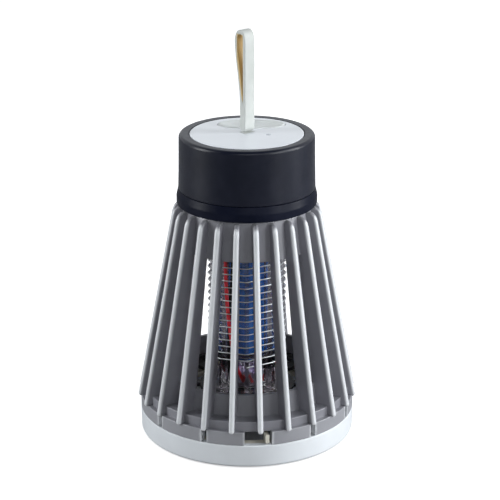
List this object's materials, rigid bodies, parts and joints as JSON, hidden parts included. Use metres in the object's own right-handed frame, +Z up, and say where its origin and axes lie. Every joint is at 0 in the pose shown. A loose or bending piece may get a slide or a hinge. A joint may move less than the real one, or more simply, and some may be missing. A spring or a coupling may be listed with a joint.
{
  "type": "electric bug zapper",
  "caption": "Rechargeable lantern-shaped bug zapper: a finned cage round a wound high-voltage coil, an electronics head with a soft hanging strap, and a lift-off insect tray.",
  "frame": {"origin": "centre of the foot ring's underside, on the surface the object stands on", "axes": "+Z up along the body's axis, front of the object towards -Y"},
  "size_m": [0.0916, 0.0916, 0.1714],
  "materials": {
    "white_plastic": "smooth gloss moulding",
    "grey_plastic": "fine satin moulding",
    "black_plastic": "satin blue-black moulding",
    "dark_plastic": "matt moulding",
    "cream_plastic": "satin moulding",
    "silicone": "matt translucent white silicone",
    "dark_rubber": "matt rubber",
    "clear_plastic": "clear moulding",
    "steel_wire": "bright drawn wire",
    "nickel": "nickel plate",
    "screw_steel": "zinc plate",
    "cell_wrap": "heat-shrunk film",
    "red_insulation": "smooth insulation",
    "black_insulation": "smooth insulation",
    "circuit_board": "solder mask",
    "amber_tape": "polyester tape and epoxy",
    "uv_lens": "clear violet epoxy"
  },
  "bodies": {
    "tray": {"base_tray": "white_plastic", "foot_ring": "dark_rubber"},
    "lock": {"lock_ring": "cream_plastic"},
    "lantern": {"top_plate": "white_plastic", "fin_cage": "grey_plastic", "head_base": "black_plastic", "head_shell": "black_plastic", "cage_floor": "dark_plastic", "tact_switch": "dark_plastic", "strap_foot": "silicone", "head_seal": "dark_rubber", "coil_former": "clear_plastic", "indicator_lens": "clear_plastic", "grid_wire_a": "steel_wire", "grid_wire_b": "steel_wire", "grid_terminal_a": "nickel", "grid_terminal_b": "nickel", "battery_tab_positive": "nickel", "battery_tab_negative": "nickel", "usb_socket": "nickel", "head_screw_1": "screw_steel", "head_screw_2": "screw_steel", "head_screw_3": "screw_steel", "pcb_screw_1": "screw_steel", "pcb_screw_2": "screw_steel", "pcb_screw_3": "screw_steel", "former_screw_1": "screw_steel", "former_screw_2": "screw_steel", "former_screw_3": "screw_steel", "battery_cell": "cell_wrap", "wire_red": "red_insulation", "wire_black": "black_insulation", "hv_lead_a": "black_insulation", "hv_lead_b": "black_insulation", "main_pcb": "circuit_board", "uv_led_board": "circuit_board", "hv_transformer": "amber_tape", "hv_capacitor": "amber_tape", "uv_led_1": "uv_lens", "uv_led_2": "uv_lens", "uv_led_3": "uv_lens", "uv_led_4": "uv_lens", "indicator_led": "uv_lens"},
    "strap": {"hang_strap": "silicone"},
    "button": {"power_button": "silicone"},
    "cover": {"usb_cover": "dark_rubber"}
  },
  "joints": [
    {"name": "tray_release", "type": "slide", "parent": "tray", "child": "lantern", "axis": [0, 0, 1], "range_m": [0, 0.02]},
    {"name": "lock_turn", "type": "hinge", "parent": "tray", "child": "lock", "pos_m": [0, 0, 0.009], "axis": [0, 0, 1], "range_deg": [-10, 0]},
    {"name": "strap_fold", "type": "hinge", "parent": "lantern", "child": "strap", "pos_m": [0.00015, 0.002, 0.1312], "axis": [0.766, 0.6428, 0], "range_deg": [-75, 75], "stiffness_Nm_per_rad": 0.01},
    {"name": "power_press", "type": "slide", "parent": "lantern", "child": "button", "axis": [0, 0, -1], "range_m": [0, 0.0008], "stiffness_N_per_m": 1500},
    {"name": "cover_open", "type": "hinge", "parent": "lantern", "child": "cover", "pos_m": [0, 0.0273, 0.112], "axis": [-1, 0, 0], "range_deg": [0, 95]}
  ]
}
